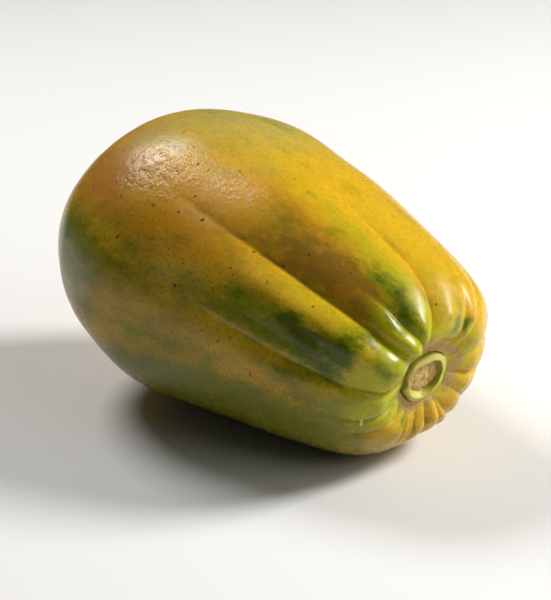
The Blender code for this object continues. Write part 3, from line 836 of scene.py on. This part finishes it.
# Crumbs and streaks of dried latex, in the same way.
latexCrumbs = [
    (34.6, 201.4, 0.75, 1.0), (34.1, 199.9, 0.7, 1.0), (33.2, 199.2, 0.5, 0.8),
    (14.2, 291, 0.3, 0.4),
]
spotEdge = (0.35, 1.2)      # where a spot starts and ends to fade, in its radii


# Mask of round spots on the skin, soft at their edges.
def spotMask(tree, where, spots):
    mask = None
    for distance, angle, radius, strength in spots:
        depth, out = skinAt(distance, angle, furrowsAt(distance), creasesAt(distance))
        turn = math.radians(angle)
        spot = place(depth, out * math.cos(turn), out * math.sin(turn))
        centre = (spot + setDownShift) * mm
        away = addNode(tree, "VectorMath", (where, centre), "Value", operation="DISTANCE")
        start, end = (radius * share * mm for share in spotEdge)
        here = addNode(tree, "MapRange", (away, start, end, strength, 0.0), **soft)
        if mask is None:
            mask = here
        else:
            mask = addNode(tree, "Math", (mask, here), operation="MAXIMUM")
    return mask


# Ripening papaya skin: a smooth, waxy, thick rind that turns from green through yellow to
# amber. It gives the eye soft patches, small raised lenticels and broad soft highlights.
skinLook = {
    "colours": {
        "yellow": "#D0A51A", "paleYellow": "#C89F20", "ochre": "#CA9012", "blush": "#C6842E",
        # amber is both the skin's own amber and the painted shade along the creases
        "amberAndCreaseShade": "#8C6418", "dusky": "#A99A4C", "lime": "#A9A70A", "olive": "#6C6A06",
        "leafGreen": "#727808", "deepGreen": "#4A5304", "dot": "#2A2810", "fleck": "#4A500C",
        "cork": "#AE8E58", "corkDark": "#8A6A40", "corkPale": "#BE9F66", "corkHalo": "#A8893A",
        "latex": "#E6DCA8",
    },
    # size in mm, detail, roughness, and squeeze along the fruit, which draws a pattern out
    "noises": {
        "broad": (26, 3, 0.6, 1), "blotch": (10, 5, 0.65, 0.4), "mottle": (4.5, 4, 0.65, 0.4),
        "fine": (1.6, 3, 0.6, 1), "streak": (1.3, 3, 0.6, 0.18), "dust": (1, 2, 0.6, 1),
        "wrinkle": (2.4, 3, 0.7, 1), "fold": (5, 2, 0.6, 1),
        "wander": (3, 3, 0.5, 1), "grain": (0.9, 5, 0.7, 1),
    },
    # scattered marks: cell size in mm, channel that picks cells, range of the pick, range of the radius
    "scattered": {
        "fleck": (2, 0, -0.15, 0.4, 0.1, 0.32),
        "lenticel": (6, 1, -0.2, 0.3, 0.04, 0.11),
    },
    # heights in mm
    "pores": 0.014, "lines": 0.012, "folds": 0.26, "dots": 0.05, "crumbs": 0.3,
    "roughness": (0.28, 0.25),      # on the belly, on the lobe tips
    "bloomRoughness": 0.16,
    "corkRoughness": 0.8,
    "ior": 1.41,
    "specular": 0.42,
}


def skinMaterial():
    material, tree, shader, colour = startMaterial("ripening_papaya_skin", skinLook["colours"])
    where = addNode(tree, "TexCoord", out="Object")
    kinds = ("speckle", "wrinkle", "cork", "corkSpread", "tips", "bloom", "green")
    mask = {kind: addNode(tree, "Attribute", out="Fac", attribute_name=kind) for kind in kinds}
    pattern = {}
    for name, (size, detail, roughness, squeeze) in skinLook["noises"].items():
        drawn = where
        if squeeze != 1:
            drawn = addNode(tree, "Mapping", {"Vector": where, "Scale": (squeeze, 1, 1)})
        inputs = {"Vector": drawn, "Scale": perMm(size), "Detail": detail, "Roughness": roughness}
        pattern[name] = addNode(tree, "TexNoise", inputs)

    # yellow ground, and over it the soft patches, mottled where they thin out; the amber kind also lays
    # painted shade along the creases
    share = addNode(tree, "MapRange", (pattern["broad"], 0.35, 0.7), **soft)
    ground = addNode(tree, "Mix", {0: share, 6: colour["yellow"], 7: colour["paleYellow"]}, **tint)
    uneven = addNode(tree, "MapRange", (pattern["mottle"], 0.28, 0.72, 0.62, 1.38), **soft)
    for kind in ("ochre", "dusky", "blush", "amberAndCreaseShade", "lime", "olive"):
        patch = addNode(tree, "Attribute", out="Fac", attribute_name=kind)
        share = addNode(tree, "Math", (patch, uneven), operation="MULTIPLY", use_clamp=True)
        ground = addNode(tree, "Mix", {0: share, 6: ground, 7: colour[kind]}, **tint)

    # clouds of olive and of warm yellow, a few mm across
    for name, low, high, most in (("olive", 0.5, 0.72, 0.35), ("ochre", 0.48, 0.3, 0.3)):
        share = addNode(tree, "MapRange", (pattern["blotch"], low, high, 0.0, most), **soft)
        ground = addNode(tree, "Mix", {0: share, 6: ground, 7: colour[name]}, **tint)

    # green that is left, deepest in the middle of a patch, broken into blotches and streaks
    green = mask["green"]
    breaks = (("mottle", 0.3, 0.7, 0.45, 1.6), ("streak", 0.25, 0.75, 0.75, 1.25))
    for name, low, high, least, most in breaks:
        broken = addNode(tree, "MapRange", (pattern[name], low, high, least, most), **soft)
        green = addNode(tree, "Math", (green, broken), operation="MULTIPLY")
    for name, low, high in (("leafGreen", 0.0, 0.7), ("deepGreen", 0.45, 1.3)):
        share = addNode(tree, "MapRange", (green, low, high), **soft)
        ground = addNode(tree, "Mix", {0: share, 6: ground, 7: colour[name]}, **tint)

    # lengthwise streaks and a fine grain, lighter and darker
    streaky = addNode(tree, "MapRange", (pattern["streak"], 0.25, 0.75, 0.9, 1.06), **soft)
    grainy = addNode(tree, "MapRange", (pattern["fine"], 0.25, 0.75, -0.06, 0.06), **soft)
    shade = addNode(tree, "Math", (streaky, grainy), operation="ADD")
    ground = addNode(tree, "Mix", {0: 1.0, 6: ground, 7: shade}, blend_type="MULTIPLY", **tint)

    # small green flecks and scattered lenticels, thick on the greener side
    scattered = {}
    for name, (size, channel, least, most, near, far) in skinLook["scattered"].items():
        cells = addNode(tree, "TexVoronoi", {"Vector": where, "Scale": perMm(size)}).node
        pick = addNode(tree, "SeparateColor", (cells.outputs["Color"],), channel)
        over = addNode(tree, "Math", (mask["speckle"], pick), operation="SUBTRACT")
        shown = addNode(tree, "MapRange", (over, least, most), **soft)
        disc = addNode(tree, "MapRange", (cells.outputs["Distance"], near, far, 1.0, 0.0), **soft)
        scattered[name] = addNode(tree, "Math", (disc, shown), operation="MULTIPLY")
    fleck = addNode(tree, "Math", (scattered["fleck"], 0.7), operation="MULTIPLY")
    dust = addNode(tree, "MapRange", (pattern["dust"], 0.56, 0.7), **soft)
    dust = addNode(tree, "Math", (dust, mask["speckle"]), operation="MULTIPLY", use_clamp=True)
    dust = addNode(tree, "Math", (dust, 0.75), operation="MULTIPLY")
    share = addNode(tree, "Math", (fleck, dust), operation="MAXIMUM")
    ground = addNode(tree, "Mix", {0: share, 6: ground, 7: colour["fleck"]}, **tint)

    # corky scar: fibres that run along its bands
    across = addNode(tree, "Math", (mask["corkSpread"], 5.0), operation="MULTIPLY")
    sway = addNode(tree, "Math", (pattern["wander"], 11.0), operation="MULTIPLY")
    lineAt = addNode(tree, "Math", (across, sway), operation="ADD")
    lines = addNode(tree, "Math", (lineAt,), operation="SINE")
    share = addNode(tree, "MapRange", (pattern["grain"], 0.35, 0.65), **soft)
    bark = addNode(tree, "Mix", {0: share, 6: colour["cork"], 7: colour["corkPale"]}, **tint)
    dark = addNode(tree, "MapRange", (lines, 0.1, 1.0), **soft)
    rubbed = addNode(tree, "MapRange", (pattern["grain"], 0.35, 0.65, 0.1, 0.7), **soft)
    share = addNode(tree, "Math", (dark, rubbed), operation="MULTIPLY")
    bark = addNode(tree, "Mix", {0: share, 6: bark, 7: colour["corkDark"]}, **tint)
    frayed = addNode(tree, "Math", (pattern["wander"], 0.5), operation="SUBTRACT")
    frayed = addNode(tree, "Math", (frayed, 0.5), operation="MULTIPLY")
    frayed = addNode(tree, "Math", (mask["cork"], frayed), operation="ADD")
    corkEdge = addNode(tree, "MapRange", (frayed, 0.4, 0.95), **soft)
    share = addNode(tree, "MapRange", (mask["cork"], 0.05, 0.6, 0.0, 0.55), **soft)
    ground = addNode(tree, "Mix", {0: share, 6: ground, 7: colour["corkHalo"]}, **tint)
    share = addNode(tree, "Math", (corkEdge, 0.88), operation="MULTIPLY")
    ground = addNode(tree, "Mix", {0: share, 6: ground, 7: bark}, **tint)

    # lenticels that stand out, and crumbs of dried latex
    small = addNode(tree, "Math", (scattered["lenticel"], 0.6), operation="MULTIPLY")
    dots = addNode(tree, "Math", (spotMask(tree, where, lenticels), small), operation="MAXIMUM")
    ground = addNode(tree, "Mix", {0: dots, 6: ground, 7: colour["dot"]}, **tint)
    latex = spotMask(tree, where, latexCrumbs)
    ground = addNode(tree, "Mix", {0: latex, 6: ground, 7: colour["latex"]}, **tint)
    tree.links.new(ground, shader.inputs["Base Color"])

    # waxy shine, closest on the lobe tips, dull on the cork
    rough = addNode(tree, "MapRange", (mask["tips"], 0.0, 1.0, *skinLook["roughness"]), **soft)
    bloom = addNode(tree, "Math", (mask["bloom"], skinLook["bloomRoughness"]), operation="MULTIPLY")
    grainy = addNode(tree, "MapRange", (pattern["fine"], 0.2, 0.8, -0.03, 0.05), **soft)
    for part in (bloom, grainy):
        rough = addNode(tree, "Math", (rough, part), operation="ADD")
    dull = addNode(tree, "Math", (corkEdge, skinLook["corkRoughness"]), operation="MULTIPLY")
    rough = addNode(tree, "Math", (rough, dull), operation="MAXIMUM")
    tree.links.new(rough, shader.inputs["Roughness"])

    # relief in mm: crumpled wrinkles, leathery pores, faint lengthwise lines, dots, crumbs, cork
    fold = addNode(tree, "Math", (pattern["fold"], 0.8), operation="MULTIPLY")
    crumple = addNode(tree, "Math", (pattern["wrinkle"], fold), operation="ADD")
    height = addNode(tree, "MapRange", (crumple, 0.75, 1.15, 0.0, skinLook["folds"]), **soft)
    height = addNode(tree, "Math", (height, mask["wrinkle"]), operation="MULTIPLY")
    patchy = addNode(tree, "MapRange", (pattern["mottle"], 0.38, 0.62, 0.3, 1.2), **soft)
    height = addNode(tree, "Math", (height, patchy), operation="MULTIPLY")
    groove = addNode(tree, "Math", (lines, -0.06), operation="MULTIPLY")
    crust = addNode(tree, "Math", (pattern["grain"], 0.22), operation="MULTIPLY")
    crust = addNode(tree, "Math", (groove, crust), operation="ADD")
    for part in (
        addNode(tree, "MapRange", (pattern["fine"], 0.2, 0.8, 0.0, skinLook["pores"]), **soft),
        addNode(tree, "MapRange", (pattern["streak"], 0.2, 0.8, 0.0, skinLook["lines"]), **soft),
        addNode(tree, "Math", (dots, skinLook["dots"]), operation="MULTIPLY"),
        addNode(tree, "Math", (latex, skinLook["crumbs"]), operation="MULTIPLY"),
        addNode(tree, "Math", (crust, corkEdge), operation="MULTIPLY"),
    ):
        height = addNode(tree, "Math", (height, part), operation="ADD")
    bump = addNode(tree, "Bump", {"Height": height, "Distance": mm, "Strength": 1.0})
    tree.links.new(bump, shader.inputs["Normal"])
    shader.inputs["IOR"].default_value = skinLook["ior"]
    shader.inputs["Specular IOR Level"].default_value = skinLook["specular"]
    shader.inputs["Subsurface Weight"].default_value = 0.12
    shader.inputs["Subsurface Radius"].default_value = (1.0, 0.45, 0.12)
    shader.inputs["Subsurface Scale"].default_value = 4 * mm
    return material


# Green stalk rind, cut across: a pale, waxy cut edge, olive on the inner wall.
rimLook = {
    "colours": {
        "rind": "#A5A034", "cut": "#BDB55E", "wall": "#8F8E1C", "low": "#C0B64A", "scuff": "#7E5A2C",
    },
    "blotch": 3,            # sizes in mm
    "grain": 0.7,
    "grainHeight": 0.15,
    "roughness": (0.38, 0.5),
    "ior": 1.45,
}


def rimMaterial():
    material, tree, shader, colour = startMaterial("cut_stalk_rind", rimLook["colours"])
    where = addNode(tree, "TexCoord", out="Object")
    kinds = ("cut", "innerWall", "low")
    mask = {kind: addNode(tree, "Attribute", out="Fac", attribute_name=kind) for kind in kinds}
    inputs = {"Vector": where, "Scale": perMm(rimLook["blotch"]), "Detail": 4}
    blotch = addNode(tree, "TexNoise", inputs)
    inputs = {"Vector": where, "Scale": perMm(rimLook["grain"]), "Detail": 4, "Roughness": 0.65}
    grain = addNode(tree, "TexNoise", inputs)
    worn = addNode(tree, "MapRange", (blotch, 0.2, 0.7, 0.6, 1.0), **soft)
    share = addNode(tree, "Math", (mask["cut"], worn), operation="MULTIPLY", use_clamp=True)
    rind = addNode(tree, "Mix", {0: share, 6: colour["rind"], 7: colour["cut"]}, **tint)
    wall = addNode(tree, "Mix", {0: mask["low"], 6: colour["wall"], 7: colour["low"]}, **tint)
    rind = addNode(tree, "Mix", {0: mask["innerWall"], 6: rind, 7: wall}, **tint)
    scuff = addNode(tree, "Math", (blotch, 0.5), operation="MULTIPLY")
    scuff = addNode(tree, "Math", (grain, scuff), operation="ADD")
    share = addNode(tree, "MapRange", (scuff, 0.84, 1.0, 0.0, 0.8), **soft)
    rind = addNode(tree, "Mix", {0: share, 6: rind, 7: colour["scuff"]}, **tint)
    tree.links.new(rind, shader.inputs["Base Color"])
    rough = addNode(tree, "MapRange", (mask["cut"], 0.0, 1.0, *rimLook["roughness"]), **soft)
    tree.links.new(rough, shader.inputs["Roughness"])
    inputs = {"Height": grain, "Distance": rimLook["grainHeight"] * mm, "Strength": 1.0}
    bump = addNode(tree, "Bump", inputs)
    tree.links.new(bump, shader.inputs["Normal"])
    shader.inputs["IOR"].default_value = rimLook["ior"]
    return material


# Dry pith: tan and fibrous, yellower in the middle, with brown fibre in its hollows.
pithLook = {
    "colours": {
        "tan": "#CBA562", "middle": "#E2C672", "edge": "#B8955A", "hollow": "#A0692F",
        "fibre": "#8E5A28",
    },
    "blotch": 2.4,          # sizes in mm
    "grain": 0.8,
    "grainHeight": 0.3,
    "stretch": (1, 1.4, 0.6),
    "roughness": 0.6,
}


def pithMaterial():
    material, tree, shader, colour = startMaterial("dry_stalk_pith", pithLook["colours"])
    where = addNode(tree, "TexCoord", out="Object")
    drawn = addNode(tree, "Mapping", {"Vector": where, "Scale": pithLook["stretch"]})
    hollow = addNode(tree, "Attribute", out="Fac", attribute_name="hollow")
    middle = addNode(tree, "Attribute", out="Fac", attribute_name="middle")
    inputs = {"Vector": drawn, "Scale": perMm(pithLook["blotch"]), "Detail": 4, "Roughness": 0.6}
    blotch = addNode(tree, "TexNoise", inputs)
    inputs = {"Vector": drawn, "Scale": perMm(pithLook["grain"]), "Detail": 4, "Roughness": 0.65}
    grain = addNode(tree, "TexNoise", inputs)
    share = addNode(tree, "MapRange", (blotch, 0.35, 0.65), **soft)
    tan = addNode(tree, "Mix", {0: share, 6: colour["tan"], 7: colour["edge"]}, **tint)
    fading = addNode(tree, "MapRange", (blotch, 0.3, 0.7, 1.0, 0.3), **soft)
    middle = addNode(tree, "Math", (middle, fading), operation="MULTIPLY")
    hollow = addNode(tree, "Math", (hollow, 0.55), operation="MULTIPLY")
    fibre = addNode(tree, "MapRange", (grain, 0.54, 0.74, 0.0, 0.5), **soft)
    for name, share in (("middle", middle), ("hollow", hollow), ("fibre", fibre)):
        tan = addNode(tree, "Mix", {0: share, 6: tan, 7: colour[name]}, **tint)
    tree.links.new(tan, shader.inputs["Base Color"])
    shader.inputs["Roughness"].default_value = pithLook["roughness"]
    inputs = {"Height": grain, "Distance": pithLook["grainHeight"] * mm, "Strength": 1.0}
    bump = addNode(tree, "Bump", inputs)
    tree.links.new(bump, shader.inputs["Normal"])
    return material


skinPiece.data.materials.append(skinMaterial())
rimPiece.data.materials.append(rimMaterial())
pithPiece.data.materials.append(pithMaterial())
print("materials made")

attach(skinPiece, "root")
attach(rimPiece, "root")
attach(pithPiece, "root")
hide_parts("fruit")
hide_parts("stem_stub")
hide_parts("stem_stub")

# Studio: a pale floor, a large key light behind on the right, and two fills.
studio = {
    "floorSize": 3.0,
    "floorColour": "#E4E2DE",
    "ambient": 0.03,
    # name: azimuth from +X toward +Y, elevation, distance, size, watts
    "lights": {
        "key": (52, 35, 1.6, 0.55, 31),
        "left_fill": (180, 50, 1.5, 0.6, 14),
        "right_fill": (10, 30, 1.5, 1.0, 5.2),
    },
}

# View from the front right, a little above, through a long lens.
view = {
    "azimuth": 53.6,
    "elevation": 20.0,
    "roll": -4.6,
    "distance": 0.8,
    "lens": 112.9,
    "shift": (0.0333, -0.0427),
}


def fruitMiddle():
    return (place(papaya["length"] / 2, 0.0, 0.0) + setDownShift) * mm


def makeFloor():
    mesh = bmesh.new()
    bmesh.ops.create_grid(mesh, x_segments=1, y_segments=1, size=studio["floorSize"])
    floor = finishPiece("studio_floor", mesh)
    for vert in floor.data.vertices:
        vert.co.z = -0.1 * mm
    material, tree, shader, colour = startMaterial("matte_paper_floor", {"paper": studio["floorColour"]})
    shader.inputs["Base Color"].default_value = colour["paper"]
    shader.inputs["Roughness"].default_value = 0.9
    floor.data.materials.append(material)


def makeLights(middle):
    for name, (azimuth, elevation, distance, size, watts) in studio["lights"].items():
        a, e = math.radians(azimuth), math.radians(elevation)
        toward = Vector((math.cos(a) * math.cos(e), math.sin(a) * math.cos(e), math.sin(e)))
        light = bpy.data.lights.new(name, "AREA")
        light.shape = "DISK"
        light.size = size
        light.energy = watts
        lamp = bpy.data.objects.new(name, light)
        lamp.location = middle + toward * distance
        lamp.rotation_euler = toward.to_track_quat("Z", "Y").to_euler()
        bpy.context.scene.collection.objects.link(lamp)
    world = bpy.data.worlds.new("studio_air")
    world.use_nodes = True
    world.node_tree.nodes["Background"].inputs["Color"].default_value = (1.0, 1.0, 1.0, 1.0)
    world.node_tree.nodes["Background"].inputs["Strength"].default_value = studio["ambient"]
    bpy.context.scene.world = world


def makeCamera(middle):
    a, e = math.radians(view["azimuth"]), math.radians(view["elevation"])
    back = Vector((math.sin(a) * math.cos(e), -math.cos(a) * math.cos(e), math.sin(e)))
    lens = bpy.data.cameras.new("camera")
    lens.lens = view["lens"]
    lens.shift_x, lens.shift_y = view["shift"]
    camera = bpy.data.objects.new("camera", lens)
    level = back.to_track_quat("Z", "Y").to_matrix().to_4x4()
    camera.matrix_world = Matrix.Translation(middle + back * view["distance"]) @ level @ Matrix.Rotation(
        math.radians(view["roll"]), 4, "Z"
    )
    bpy.context.scene.collection.objects.link(camera)
    bpy.context.scene.camera = camera


makeFloor()
makeLights(fruitMiddle())
makeCamera(fruitMiddle())
bpy.context.scene.view_settings.view_transform = "Standard"
print("studio made")
